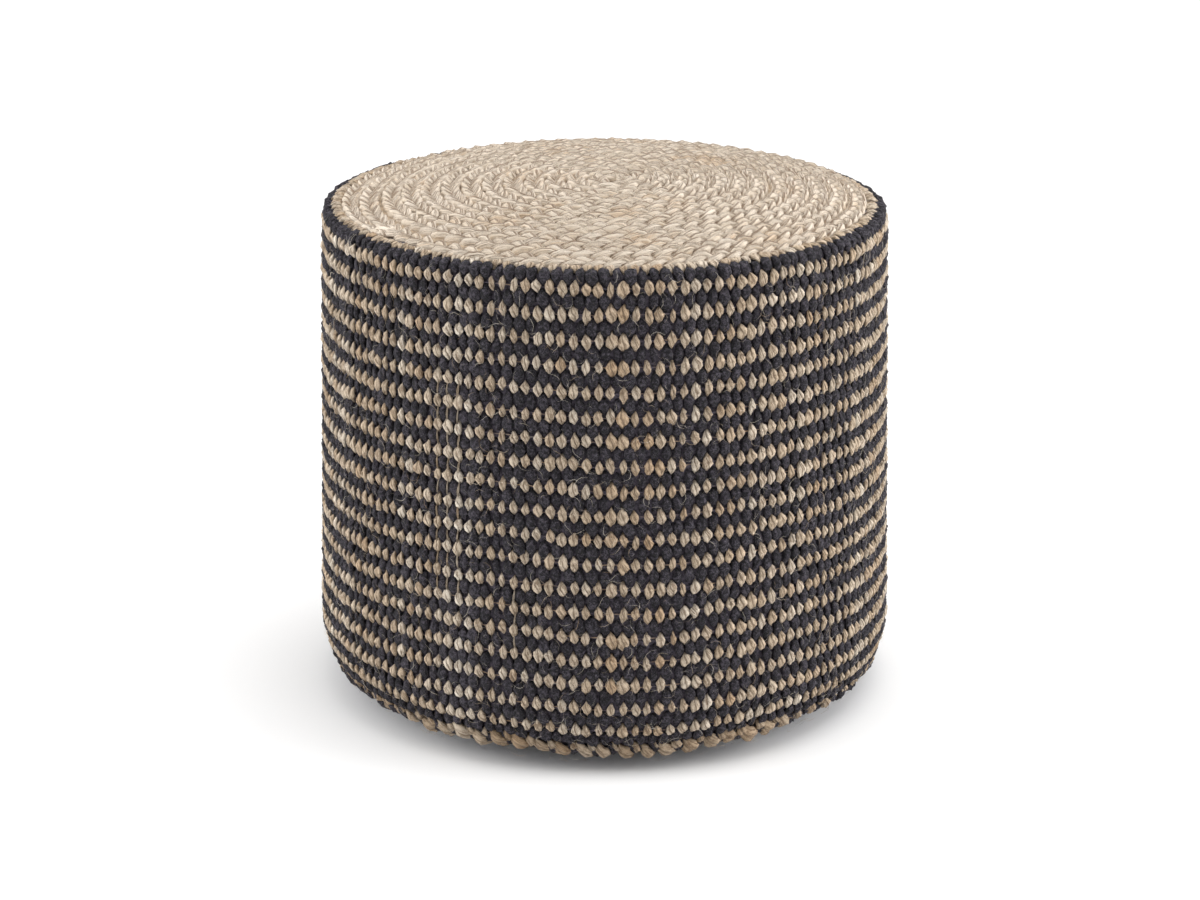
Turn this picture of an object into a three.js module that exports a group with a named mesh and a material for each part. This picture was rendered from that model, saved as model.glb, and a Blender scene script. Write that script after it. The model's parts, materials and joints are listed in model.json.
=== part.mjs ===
// Round floor pouf: a filled drum in a row-woven side band, a coiled braid mat on top
// and a flat cloth disc under it. Millimetres, +Z up, origin at the middle of the base.
import * as THREE from 'three';

// Driving dimensions of the side band
const TOP_RADIUS = 228.6;
const BELLY_RADIUS = 240;
const FOOT_RADIUS = 200;
const RIM_HEIGHT = 408.5;
const RIM_ROLL = 11.5;
const RIM_INNER_RADIUS = 213;
const CORNER_HEIGHT = 60;
const CORNER_POWER = 1.8;
const FOOT_LIFT = 0.5;

// Woven rows of the side band, measured along the cloth
const ROW_PITCH = 9.8;
const ROW_RELIEF = 2.8;
const FIRST_ROW_HEIGHT = 394.5;
const ROWS_BELOW_FIRST = 37;
const EDGE_ROW_DROP = 17;

// Coiled braid mat
const BRAID_WIDTH = 16.3;
const BRAID_THICKNESS = 8;
const BRAID_RELIEF = 2.6;
const CROWN = 14;
const CROWN_SHIFT = 0.12;
const COIL_SHIFT = 10;
const STEPS_PER_TURN = 3;

// Base cloth
const BASE_RADIUS = 188;
const BASE_THICKNESS = 3;

// Unevenness of the stuffed form
const OVAL = 0.004;
const OVAL_TURN = 0.6;
const ROW_SAG = 1.6;
const ROW_SAG_TURN = 0.4;

const GAP = 0.3;
const SEGMENTS = 54;
const CORNER_STEPS = 24;
const ROLL_STEPS = 10;

const COIL_RADIUS = RIM_INNER_RADIUS - GAP;
const SEAT_SHARES = [0.3, 0.55, 0.75, 0.9];

// Radius of the drum's straight side, which flares a little towards the floor
function sideRadius(z) {
  const down = (FIRST_ROW_HEIGHT - z) / FIRST_ROW_HEIGHT;
  return TOP_RADIUS + (BELLY_RADIUS - TOP_RADIUS) * down;
}

// Section of the side band as a line of points, from its foot up and over the rim
function bandSection() {
  const points = [];
  const shoulder = sideRadius(CORNER_HEIGHT);
  for (let i = 0; i < CORNER_STEPS; i += 1) {
    const rise = (i / CORNER_STEPS) ** 2;
    const out = (1 - (1 - rise) ** CORNER_POWER) ** (1 / CORNER_POWER);
    const z = Math.max(CORNER_HEIGHT * rise, FOOT_LIFT);
    points.push(new THREE.Vector2(FOOT_RADIUS + (shoulder - FOOT_RADIUS) * out, z));
  }
  points.push(new THREE.Vector2(shoulder, CORNER_HEIGHT));
  const rollHeight = RIM_HEIGHT - RIM_ROLL;
  const rollCentre = sideRadius(rollHeight) - RIM_ROLL;
  for (let i = 0; i <= ROLL_STEPS; i += 1) {
    const turn = (i / ROLL_STEPS) * (Math.PI / 2);
    const r = rollCentre + RIM_ROLL * Math.cos(turn);
    points.push(new THREE.Vector2(r, rollHeight + RIM_ROLL * Math.sin(turn)));
  }
  return points;
}

// Lengths along the section's line, one for each of its points
function runningLengths(points) {
  const lengths = [0];
  for (let i = 1; i < points.length; i += 1) {
    lengths.push(lengths[i - 1] + points[i].distanceTo(points[i - 1]));
  }
  return lengths;
}

// Point at a length along the section, moved out of the cloth by a height
function pointOnCloth(points, lengths, length, height) {
  let i = 1;
  while (i < points.length - 1 && lengths[i] < length) {
    i += 1;
  }
  const step = new THREE.Vector2().subVectors(points[i], points[i - 1]);
  const share = (length - lengths[i - 1]) / step.length();
  const out = new THREE.Vector2(step.y, -step.x).normalize().multiplyScalar(height);
  return points[i - 1].clone().addScaledVector(step, share).add(out);
}

// Length along the section where the straight side reaches a height
function lengthAtHeight(points, lengths, z) {
  const i = points.findIndex((point) => point.y >= z);
  const rise = points[i].y - points[i - 1].y;
  return lengths[i - 1] + ((z - points[i - 1].y) / rise) * (lengths[i] - lengths[i - 1]);
}

// Outline of the band from foot to rim: each woven row is a rib with a crease on both sides
function ribbedOutline() {
  const points = bandSection();
  const lengths = runningLengths(points);
  const first = lengthAtHeight(points, lengths, FIRST_ROW_HEIGHT);
  const half = ROW_RELIEF / 2;
  const rows = [];
  for (let k = -1; k <= ROWS_BELOW_FIRST; k += 1) {
    rows.push(first - k * ROW_PITCH);
  }
  rows.push(rows[rows.length - 1] - EDGE_ROW_DROP);
  rows.reverse();
  const outline = [points[0]];
  rows.forEach((length, i) => {
    outline.push(pointOnCloth(points, lengths, length, half));
    if (i < rows.length - 1) {
      outline.push(pointOnCloth(points, lengths, (length + rows[i + 1]) / 2, -half));
    }
  });
  outline.push(points[points.length - 1]);
  return outline;
}

// Height of the crown above the rim, highest a little to +X of the middle
function crownHeight(x, y) {
  const share = Math.min(Math.hypot(x, y) / COIL_RADIUS, 1);
  return CROWN * (1 - share * share) * (1 + (CROWN_SHIFT * x) / COIL_RADIUS);
}

// Ridge of the coiled braid: one round crest for each turn of the spiral
function braidRidge(r, angle) {
  const turns = (COIL_RADIUS - r) / BRAID_WIDTH + angle / (2 * Math.PI);
  const across = 2 * (turns - Math.floor(turns)) - 1;
  return BRAID_RELIEF * Math.sqrt(1 - across * across);
}

// Angle about +Z between 0 and a full turn
function angleOf(x, y) {
  const angle = Math.atan2(y, x);
  return angle < -1e-6 ? angle + 2 * Math.PI : Math.max(angle, 0);
}

// Stuffed unevenness: a slightly oval plan, and rows that rise and sink round the drum
function settle(point) {
  const angle = angleOf(point.x, point.y);
  const wide = 1 + OVAL * Math.cos(2 * angle + OVAL_TURN);
  const sag = ROW_SAG * Math.sin(3 * angle + ROW_SAG_TURN);
  const belt = Math.sin((Math.PI * THREE.MathUtils.clamp(point.z, 0, RIM_HEIGHT)) / RIM_HEIGHT);
  point.set(point.x * wide, point.y * wide, point.z + sag * belt * belt);
}

// A closed turned form from an outline that starts and ends on the axis, shaped point by point
function turned(outline, shape) {
  const geometry = new THREE.LatheGeometry(outline, SEGMENTS);
  geometry.rotateX(Math.PI / 2);
  const position = geometry.attributes.position;
  const point = new THREE.Vector3();
  for (let i = 0; i < position.count; i += 1) {
    point.fromBufferAttribute(position, i);
    shape(point);
    settle(point);
    position.setXYZ(i, point.x, point.y, point.z);
  }
  geometry.computeVertexNormals();
  return geometry;
}

function named(name, geometry, color, roughness) {
  const material = new THREE.MeshStandardMaterial({ color, roughness, metalness: 0 });
  const mesh = new THREE.Mesh(geometry, material);
  mesh.name = name;
  return mesh;
}

// Side band, filled: open-sided recesses under and over it hold the base cloth and the mat
function sideBand() {
  const seat = RIM_HEIGHT - BRAID_THICKNESS - GAP;
  const outline = [new THREE.Vector2(0, BASE_THICKNESS + GAP)];
  outline.push(new THREE.Vector2(BASE_RADIUS, BASE_THICKNESS + GAP));
  outline.push(new THREE.Vector2(BASE_RADIUS, FOOT_LIFT));
  outline.push(...ribbedOutline());
  outline.push(new THREE.Vector2(RIM_INNER_RADIUS, RIM_HEIGHT - GAP));
  outline.push(new THREE.Vector2(RIM_INNER_RADIUS, seat));
  [...SEAT_SHARES].reverse().forEach((share) => {
    outline.push(new THREE.Vector2(share * COIL_RADIUS, seat));
  });
  outline.push(new THREE.Vector2(0, seat));
  return turned(outline, (point) => {
    if (Math.abs(point.z - seat) < GAP / 2) {
      point.z += crownHeight(point.x, point.y);
    }
  });
}

// Coiled braid mat: an even thickness over the crown, with the spiral raised on its face
function topCoil() {
  const under = RIM_HEIGHT - BRAID_THICKNESS;
  const face = RIM_HEIGHT - BRAID_RELIEF / 2;
  const edge = under + BRAID_THICKNESS / 2;
  const outline = [new THREE.Vector2(0, under)];
  SEAT_SHARES.forEach((share) => {
    outline.push(new THREE.Vector2(share * COIL_RADIUS, under));
  });
  outline.push(new THREE.Vector2(COIL_RADIUS, under));
  outline.push(new THREE.Vector2(COIL_RADIUS, edge));
  const step = BRAID_WIDTH / STEPS_PER_TURN;
  for (let r = COIL_RADIUS - step / 2; r > step; r -= step) {
    outline.push(new THREE.Vector2(r, face));
  }
  outline.push(new THREE.Vector2(0, face));
  return turned(outline, (point) => {
    const r = Math.hypot(point.x, point.y);
    const rise = crownHeight(point.x, point.y);
    if (Math.abs(point.z - face) < GAP / 2) {
      point.z += r < step / 2 ? BRAID_RELIEF / 2 : braidRidge(r, angleOf(point.x, point.y));
      point.x += COIL_SHIFT * (1 - r / COIL_RADIUS);
    }
    point.z += rise;
  });
}

// Base cloth: a flat disc that the pouf stands on
function basePanel() {
  const outline = [new THREE.Vector2(0, 0)];
  outline.push(new THREE.Vector2(BASE_RADIUS - GAP, 0));
  outline.push(new THREE.Vector2(BASE_RADIUS - GAP, BASE_THICKNESS));
  outline.push(new THREE.Vector2(0, BASE_THICKNESS));
  return turned(outline, () => {});
}

const pouf = new THREE.Group();
pouf.add(named('side_band', sideBand(), 0x6f6558, 0.95));
pouf.add(named('top_coil', topCoil(), 0xcdb896, 0.9));
pouf.add(named('base_panel', basePanel(), 0xb9a98c, 0.95));

export default pouf;
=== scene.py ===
"""Looks of a round floor pouf: a side band woven in rows of tan jute and charcoal yarn,
a coiled jute braid on top and a plain cloth base."""

import json
import math
from functools import partial

import bpy
import numpy as np
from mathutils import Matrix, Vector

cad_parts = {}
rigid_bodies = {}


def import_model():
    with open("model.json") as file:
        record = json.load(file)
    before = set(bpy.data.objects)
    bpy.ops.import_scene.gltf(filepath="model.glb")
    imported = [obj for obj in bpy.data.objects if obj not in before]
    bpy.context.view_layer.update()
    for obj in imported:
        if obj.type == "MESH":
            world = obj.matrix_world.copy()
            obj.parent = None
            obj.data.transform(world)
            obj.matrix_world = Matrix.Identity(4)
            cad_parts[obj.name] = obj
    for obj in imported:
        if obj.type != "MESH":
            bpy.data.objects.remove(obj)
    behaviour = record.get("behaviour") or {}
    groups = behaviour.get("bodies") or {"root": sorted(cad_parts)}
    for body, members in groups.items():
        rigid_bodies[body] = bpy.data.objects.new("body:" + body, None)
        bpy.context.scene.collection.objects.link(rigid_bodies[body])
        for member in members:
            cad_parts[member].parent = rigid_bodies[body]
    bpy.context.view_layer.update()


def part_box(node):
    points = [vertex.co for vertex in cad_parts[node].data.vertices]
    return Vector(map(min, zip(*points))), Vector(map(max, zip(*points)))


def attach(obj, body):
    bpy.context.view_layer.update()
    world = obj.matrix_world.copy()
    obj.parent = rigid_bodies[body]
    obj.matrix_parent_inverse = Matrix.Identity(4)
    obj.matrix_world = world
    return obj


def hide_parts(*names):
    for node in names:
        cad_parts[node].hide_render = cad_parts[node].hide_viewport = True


bl_info = {
    "name": "Woven Pouf",
    "version": (1, 0, 0),
    "blender": (4, 5, 0),
    "location": "View3D > Sidebar > Pouf",
    "description": "Builds the yarns, the braid, the base and the stage of a woven pouf",
    "category": "Add Mesh",
}

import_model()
BODY = "root"
TURN = 2 * math.pi

# Section of the side band, as in the solids, in metres
TOP_RADIUS = 0.2286
BELLY_RADIUS = 0.240
FOOT_RADIUS = 0.200
RIM_HEIGHT = 0.4085
RIM_ROLL = 0.0115
CORNER_HEIGHT = 0.060
CORNER_POWER = 1.8
FIRST_ROW_HEIGHT = 0.3945
FOOT_LIFT = 0.0005
ROW_PITCH = 0.0098
EDGE_ROW_DROP = 0.0128
JUTE_ROWS = 19
UPPER_ROWS = 10
FLOOR_CLEARANCE = 0.0004

# Where the band turns in and down behind the mat
TUCK_IN = 0.0055
TUCK_DOWN = 0.0022
TUCK_DEPTH = 0.006

# Points of the section in its corner, straight side, rolled rim, tuck and drop
CORNER_STEPS = 60
SIDE_STEPS = 40
ROLL_STEPS = 16
TUCK_STEPS = 8
DROP_STEPS = 4

# The rim lies lower at the back, and rows in front hang lower than the others
RIM_DIP = 0.0030
RIM_DIP_TURN = math.radians(-28)
FRONT_SAG = 0.0035
FOOT_SAG = 0.0022
SAG_FADE = 0.080
SAG_MIDDLE = math.radians(8)
SAG_HALF = math.radians(32)

# Coiled mat and base, as in the solids
COIL_RADIUS = 0.2127
BRAID_THICKNESS = 0.008
CROWN = 0.014
CROWN_SHIFT = 0.12
COIL_SHIFT = 0.010
BASE_LOW, BASE_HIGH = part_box("base_panel")
BASE_RADIUS = (BASE_HIGH.x - BASE_LOW.x) / 2
BASE_THICKNESS = BASE_HIGH.z - BASE_LOW.z
BASE_THREAD = 0.0022

# Unevenness of the stuffed form, as in the solids
OVAL = 0.004
OVAL_TURN = 0.6
ROW_SAG = 0.0016
ROW_SAG_TURN = 0.4

# Distances along the cloth: how far the floats are paler beside the seam and narrower
# beside the front, and where the stitches of the lower edge are chunky and stop being so
PALE_HALF_WIDTH = 0.030
TIGHT_HALF_WIDTH = 0.27
CHUNKY_HALF_WIDTH = 0.135
CHUNKY_FADE = 0.085

# The coil's end: its narrowing and the inward steps of the outer turns, in turns
TAIL_TAPER = 0.12
JOGS = (0.17, 0.25, 0.35, 0.5, 0.7)
FIRST_JOG_WAIT = 0.035

# The fan of strands at the coil's end
TAIL_WIDTHS = np.array([0.0085, 0.0125, 0.0165, 0.0195, 0.0205, 0.0190, 0.0150, 0.0100, 0.0050])
TAIL_HEIGHTS = np.array([0.0050, 0.0062, 0.0068, 0.0068, 0.0062, 0.0054, 0.0044, 0.0034, 0.0020])
TAIL_LENGTH = 0.034
TAIL_RAISE = 0.0031
TAIL_OVERHANG = 0.002
TAIL_SIDES = 20
TAIL_SHADE = 0.3
TAIL_ALONG = 150

# Camera fitted to the photograph, for an image of 1200 x 900
IMAGE_WIDTH = 1200
FOCAL_PIXELS = 2868.7
SENSOR = 36.0
CAMERA_PLACE = (-0.00363, -2.28105, 0.9659)
CAMERA_PITCH = math.radians(18.75)


# Node graphs


class Wire:
    """An output socket. Arithmetic on it adds Math nodes to its tree."""

    def __init__(self, graph, socket):
        self.graph = graph
        self.socket = socket

    def out(self, name):
        """Another output of the same node."""
        return Wire(self.graph, pick(self.socket.node.outputs, name))

    def math(self, operation, *values):
        """A Math node with this wire first."""
        inputs = dict(enumerate([self, *values]))
        return self.graph.node("ShaderNodeMath", inputs, operation=operation)

    def __add__(self, other):
        return self.math("ADD", other)

    def __sub__(self, other):
        return self.math("SUBTRACT", other)

    def __mul__(self, other):
        return self.math("MULTIPLY", other)

    def __truediv__(self, other):
        return self.math("DIVIDE", other)

    def __rsub__(self, other):
        return (self * -1.0).math("ADD", other)

    def __pow__(self, power):
        return self.math("POWER", power)

    def __abs__(self):
        return self.math("ABSOLUTE")

    def clip(self, low=0.0, high=1.0):
        return self.math("MAXIMUM", low).math("MINIMUM", high)

    __radd__ = __add__
    __rmul__ = __mul__


def pick(sockets, name):
    """A node's socket by number, or by name among those in use."""
    if isinstance(name, int):
        return sockets[name]
    return next(s for s in sockets if s.name == name and s.enabled)


def opaque(color):
    """A colour of three parts with its alpha."""
    return (*color, 1)


class Graph:
    """Adds nodes to the tree of a material, of the world or of a Geometry Nodes group."""

    def __init__(self, tree):
        self.tree = tree

    def put(self, socket, value):
        if isinstance(value, Wire):
            self.tree.links.new(value.socket, socket)
        else:
            socket.default_value = opaque(value) if socket.type == "RGBA" else value

    def node(self, kind, inputs=None, out=None, **settings):
        """One node of a type, with its settings set first and then its sockets."""
        made = self.tree.nodes.new(kind)
        for name, value in settings.items():
            if name == "stops":
                set_stops(made.color_ramp, value)
            else:
                setattr(made, name, value)
        for name, value in (inputs or {}).items():
            self.put(pick(made.inputs, name), value)
        if out is None:
            return Wire(self, next(s for s in made.outputs if s.enabled))
        return Wire(self, pick(made.outputs, out))

    def vector(self, x, y, z):
        return self.node("ShaderNodeCombineXYZ", {0: x, 1: y, 2: z})

    def split(self, vector):
        """The x and the y of a vector."""
        parts = self.node("ShaderNodeSeparateXYZ", {0: vector})
        return parts, parts.out("Y")

    def noise(self, vector, scale=1.0, detail=2.0, roughness=0.5):
        inputs = {"Vector": vector, "Scale": scale, "Detail": detail, "Roughness": roughness}
        return self.node("ShaderNodeTexNoise", inputs)


def set_stops(ramp, stops):
    """Gives a colour ramp its stops: (place, colour) pairs."""
    while len(ramp.elements) > 1:
        ramp.elements.remove(ramp.elements[-1])
    ramp.elements[0].position = stops[0][0]
    ramp.elements[0].color = opaque(stops[0][1])
    for place, color in stops[1:]:
        ramp.elements.new(place).color = opaque(color)


class Finish(Graph):
    """A cloth or yarn material: one Principled shader and what feeds it."""

    def __init__(self, name, sheen=0.0):
        self.material = bpy.data.materials.new(name)
        self.material.use_nodes = True
        super().__init__(self.material.node_tree)
        self.tree.nodes.clear()
        self.shader = self.tree.nodes.new("ShaderNodeBsdfPrincipled")
        output = self.tree.nodes.new("ShaderNodeOutputMaterial")
        self.tree.links.new(self.shader.outputs[0], output.inputs["Surface"])
        self.feed({"Sheen Weight": sheen, "Sheen Roughness": 0.5, "Specular IOR Level": 0.25})

    def feed(self, values):
        for name, value in values.items():
            self.put(self.shader.inputs[name], value)

    def object_place(self):
        return self.node("ShaderNodeTexCoord", out="Object")

    def attribute(self, name, out="Fac"):
        return self.node("ShaderNodeAttribute", out=out, attribute_name=name)

    def yarn(self):
        """Where a point lies on its yarn: round it and along it, both from 0 to 1."""
        return self.split(self.node("ShaderNodeUVMap", uv_map="yarn"))

    def ramp(self, value, *stops):
        return self.node("ShaderNodeValToRGB", {"Fac": value}, stops=stops)

    def blend(self, share, first, second, mode="MIX"):
        inputs = {"Factor": share, "A": first, "B": second}
        return self.node("ShaderNodeMix", inputs, data_type="RGBA", blend_type=mode)

    def surface(self, color, roughness, height, depth):
        """Joins colour, roughness and a height in metres to the shader."""
        bump = self.node("ShaderNodeBump", {"Height": height, "Distance": depth})
        self.feed({"Base Color": color, "Roughness": roughness, "Normal": bump})
        return self.material


class Growth(Graph):
    """A Geometry Nodes group with named inputs, run once on a new object."""

    def __init__(self, name, **sockets):
        super().__init__(bpy.data.node_groups.new(name, "GeometryNodeTree"))
        face = self.tree.interface
        face.new_socket("Geometry", in_out="INPUT", socket_type="NodeSocketGeometry")
        self.names = {}
        for kind, names in {**sockets, "Material": "Material"}.items():
            for key in names.split():
                made = face.new_socket(key, in_out="INPUT", socket_type="NodeSocket" + kind)
                self.names[key] = made.identifier
        face.new_socket("Geometry", in_out="OUTPUT", socket_type="NodeSocketGeometry")
        self.entry = self.tree.nodes.new("NodeGroupInput")

    def given(self, *names):
        """The group's inputs of these names."""
        wires = [Wire(self, pick(self.entry.outputs, name)) for name in names]
        return wires if len(wires) > 1 else wires[0]

    def place(self):
        return self.node("GeometryNodeInputPosition")

    def number(self):
        return self.node("GeometryNodeInputIndex")

    def random(self, low, high, number, seed, kind="FLOAT"):
        inputs = {"Min": low, "Max": high, "ID": number, "Seed": seed}
        return self.node("FunctionNodeRandomValue", inputs, data_type=kind)

    def line(self, count, offset, start=(0.0, 0.0, 0.0)):
        inputs = {"Count": count, "Start Location": start, "Offset": offset}
        return self.node("GeometryNodeMeshLine", inputs)

    def curve(self, mesh):
        return self.node("GeometryNodeMeshToCurve", {"Mesh": mesh})

    def ring(self, sides, radius):
        inputs = {"Resolution": sides, "Radius": radius}
        return self.node("GeometryNodeCurvePrimitiveCircle", inputs, mode="RADIUS")

    def tube(self, curve, profile):
        inputs = {"Curve": curve, "Profile Curve": profile, "Fill Caps": True}
        return self.node("GeometryNodeCurveToMesh", inputs)

    def move(self, geometry, offset):
        return self.node("GeometryNodeSetPosition", {"Geometry": geometry, "Offset": offset})

    def scaled(self, vector, share):
        return self.node("ShaderNodeVectorMath", {0: vector, "Scale": share}, operation="SCALE")

    def read(self, name):
        return self.node("GeometryNodeInputNamedAttribute", {"Name": name}, data_type="FLOAT")

    def store(self, geometry, name, value, domain="POINT", kind="FLOAT"):
        inputs = {"Geometry": geometry, "Name": name, "Value": value}
        kinds = {"data_type": kind, "domain": domain}
        return self.node("GeometryNodeStoreNamedAttribute", inputs, **kinds)

    def copies(self, points, shape, **inputs):
        inputs.update(Points=points, Instance=shape)
        return self.node("GeometryNodeInstanceOnPoints", inputs)

    def sow(self, points, kind, turn, size):
        """Puts one of the group's shapes on each point, turned and sized."""
        inputs = {"Collection": self.given("Shapes")}
        inputs |= {"Separate Children": True, "Reset Children": True}
        shapes = self.node("GeometryNodeCollectionInfo", inputs)
        inputs = {"Pick Instance": True, "Instance Index": kind}
        return self.copies(points, shapes, Rotation=turn, Scale=size, **inputs)

    def real(self, geometry):
        return self.node("GeometryNodeRealizeInstances", {"Geometry": geometry})

    def close(self, geometry):
        """Ends the tree: real faces, then the material. Returns the tree."""
        inputs = {"Geometry": self.real(geometry), "Material": self.given("Material")}
        done = self.node("GeometryNodeSetMaterial", inputs)
        output = self.tree.nodes.new("NodeGroupOutput")
        self.tree.links.new(done.socket, output.inputs[0])
        return self

    def grow(self, name, mesh=None, **values):
        """Runs the tree on a mesh and returns the plain mesh object that it makes."""
        seed = add_object(name + "_seed", mesh or bpy.data.meshes.new("start"))
        modifier = seed.modifiers.new("grow", "NODES")
        modifier.node_group = self.tree
        for key, value in values.items():
            modifier[self.names[key]] = value
        graph = bpy.context.evaluated_depsgraph_get()
        made = bpy.data.meshes.new_from_object(seed.evaluated_get(graph))
        bpy.data.objects.remove(seed)
        if not made.polygons:
            raise RuntimeError(f"{name}: the tree made no faces")
        made.name = name
        made.materials.clear()
        made.materials.append(values["Material"])
        made.polygons.foreach_set("material_index", [0] * len(made.polygons))
        return add_object(name, made)


# Meshes and pieces


def add_object(name, data):
    made = bpy.data.objects.new(name, data)
    bpy.context.scene.collection.objects.link(made)
    return made


def get_points(mesh):
    flat = np.zeros(len(mesh.vertices) * 3)
    mesh.vertices.foreach_get("co", flat)
    return flat.reshape(-1, 3)


def set_points(mesh, points):
    mesh.vertices.foreach_set("co", np.asarray(points, np.float32).ravel())
    mesh.update()


def smooth(mesh):
    mesh.polygons.foreach_set("use_smooth", [True] * len(mesh.polygons))


def new_mesh(name, points, faces, edges=()):
    mesh = bpy.data.meshes.new(name)
    mesh.from_pydata(np.asarray(points, float).tolist(), edges, faces)
    smooth(mesh)
    return mesh


def set_attribute(mesh, name, values):
    """Stores a number or a vector for each point."""
    values = np.asarray(values, np.float32)
    kind, field = ("FLOAT", "value") if values.ndim == 1 else ("FLOAT_VECTOR", "vector")
    mesh.attributes.new(name, kind, "POINT").data.foreach_set(field, values.ravel())


def pairs(sides):
    """Each corner of a ring with the next one."""
    return [(j, (j + 1) % sides) for j in range(sides)]


def tube_faces(rows, sides):
    """Faces between the rings of a tube."""
    faces = []
    for low in range(0, (rows - 1) * sides, sides):
        high = low + sides
        faces += [(low + j, high + j, high + k, low + k) for j, k in pairs(sides)]
    return faces


def turned_mesh(name, r, z, segments):
    """A closed turned form. Its outline starts and ends on the axis, from below to above."""
    angle = np.arange(segments) * TURN / segments
    rings = [
        np.column_stack([a * np.sin(angle), -a * np.cos(angle), np.full(segments, b)])
        for a, b in zip(r[1:-1], z[1:-1])
    ]
    points = np.vstack([[[0, 0, z[0]]], *rings, [[0, 0, z[-1]]]])
    last = 1 + (len(rings) - 1) * segments
    faces = []
    for j, k in pairs(segments):
        faces.append((0, 1 + k, 1 + j))
        for low in range(1, last, segments):
            high = low + segments
            faces.append((low + j, low + k, high + k, high + j))
        faces.append((last + j, last + k, len(points) - 1))
    return new_mesh(name, points, faces)


def finish_piece(piece):
    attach(piece, BODY)
    return piece


def lay(piece, form, roughness=0.0, seed=0):
    """Bends a piece made flat to its form, with each point a little out of place."""
    points = get_points(piece.data)
    draw = np.random.default_rng(seed)
    points += roughness * np.clip(draw.normal(size=points.shape), -2, 2)
    set_points(piece.data, form(points))
    smooth(piece.data)
    return finish_piece(piece)


# Form of the drum


def side_radius(z):
    down = (FIRST_ROW_HEIGHT - z) / FIRST_ROW_HEIGHT
    return TOP_RADIUS + (BELLY_RADIUS - TOP_RADIUS) * down


def band_section():
    """The band's section from its foot, up, over the rim and down behind the mat: r and z."""
    rise = np.linspace(0, 1, CORNER_STEPS) ** 2
    out = (1 - (1 - rise) ** CORNER_POWER) ** (1 / CORNER_POWER)
    corner_r = FOOT_RADIUS + (side_radius(CORNER_HEIGHT) - FOOT_RADIUS) * out
    corner_z = np.maximum(CORNER_HEIGHT * rise, FOOT_LIFT)
    roll_start = RIM_HEIGHT - RIM_ROLL
    side_z = np.linspace(CORNER_HEIGHT, roll_start, SIDE_STEPS)[1:]
    centre = side_radius(roll_start) - RIM_ROLL
    turn = np.linspace(0, math.pi / 2, ROLL_STEPS)[1:]
    roll_r = centre + RIM_ROLL * np.cos(turn)
    roll_z = roll_start + RIM_ROLL * np.sin(turn)
    tuck = np.linspace(0, math.pi / 2, TUCK_STEPS)[1:]
    tuck_r = centre - TUCK_IN * np.sin(tuck)
    tuck_z = RIM_HEIGHT - TUCK_DOWN + TUCK_DOWN * np.cos(tuck)
    drop_z = tuck_z[-1] - np.linspace(0, TUCK_DEPTH, DROP_STEPS)[1:]
    r = [corner_r, side_radius(side_z), roll_r, tuck_r, np.full(len(drop_z), tuck_r[-1])]
    z = [corner_z, side_z, roll_z, tuck_z, drop_z]
    return np.concatenate(r), np.concatenate(z)


SECTION_R, SECTION_Z = band_section()
SECTION_T = np.concatenate(
    [[0.0], np.cumsum(np.hypot(np.diff(SECTION_R), np.diff(SECTION_Z)))]
)
SLOPE_R = np.gradient(SECTION_R, SECTION_T)
SLOPE_Z = np.gradient(SECTION_Z, SECTION_T)
RISING = CORNER_STEPS + SIDE_STEPS
FIRST_ROW = float(np.interp(FIRST_ROW_HEIGHT, SECTION_Z[:RISING], SECTION_T[:RISING]))
EDGE_ROW = FIRST_ROW - (2 * JUTE_ROWS - 1) * ROW_PITCH - EDGE_ROW_DROP

# Length of the flat cloth round the drum, at its middle height
GIRTH = TURN * side_radius(RIM_HEIGHT / 2)


def off_section(t, h):
    """Points at lengths t along the section's line and h out of the cloth: r and z."""
    out_r = np.interp(t, SECTION_T, SLOPE_Z)
    out_z = -np.interp(t, SECTION_T, SLOPE_R)
    size = np.hypot(out_r, out_z)
    r = np.interp(t, SECTION_T, SECTION_R) + h * out_r / size
    z = np.interp(t, SECTION_T, SECTION_Z) + h * out_z / size
    return r, z


def settle(points):
    """The stuffed unevenness: a slightly oval plan and rows that rise and sink."""
    x, y, z = points.T
    angle = np.arctan2(y, x)
    wide = 1 + OVAL * np.cos(2 * angle + OVAL_TURN)
    belt = np.sin(math.pi * np.clip(z, 0, RIM_HEIGHT) / RIM_HEIGHT)
    sag = ROW_SAG * np.sin(3 * angle + ROW_SAG_TURN)
    return np.column_stack([x * wide, y * wide, z + sag * belt**2])


def front_sag(angle, t):
    """How far a row in front has slid down, growing from the rim to the foot."""
    away = (angle - SAG_MIDDLE + math.pi) % TURN - math.pi
    near = np.clip(np.abs(away) / SAG_HALF, 0, 1)
    share = 0.5 + 0.5 * np.cos(math.pi * near)
    below = np.clip((FIRST_ROW - t) / SAG_FADE, 0, 1)
    above = np.clip(t / EDGE_ROW, 0, 1)
    low = np.clip(1 - 2 * t / FIRST_ROW, 0, 1) * above
    return share * (FRONT_SAG * below * above + FOOT_SAG * low)


def wrap(points):
    """Lays flat cloth round the drum: x along the girth, y up the section, z out of the cloth."""
    s, t, h = points.T
    angle = TURN * s / GIRTH
    t = t - front_sag(angle, t)
    r, z = off_section(t, h)
    over_rim = np.clip((t - FIRST_ROW) / RIM_ROLL, 0, 1)
    at_back = np.clip(-np.cos(angle - RIM_DIP_TURN), 0, 1)
    z = z - RIM_DIP * over_rim * at_back
    placed = settle(np.column_stack([r * np.sin(angle), -r * np.cos(angle), z]))
    placed[:, 2] = np.maximum(placed[:, 2], FLOOR_CLEARANCE)
    return placed


def crown_height(x, y):
    share = np.minimum(np.hypot(x, y) / COIL_RADIUS, 1)
    return CROWN * (1 - share**2) * (1 + CROWN_SHIFT * x / COIL_RADIUS)


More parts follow.
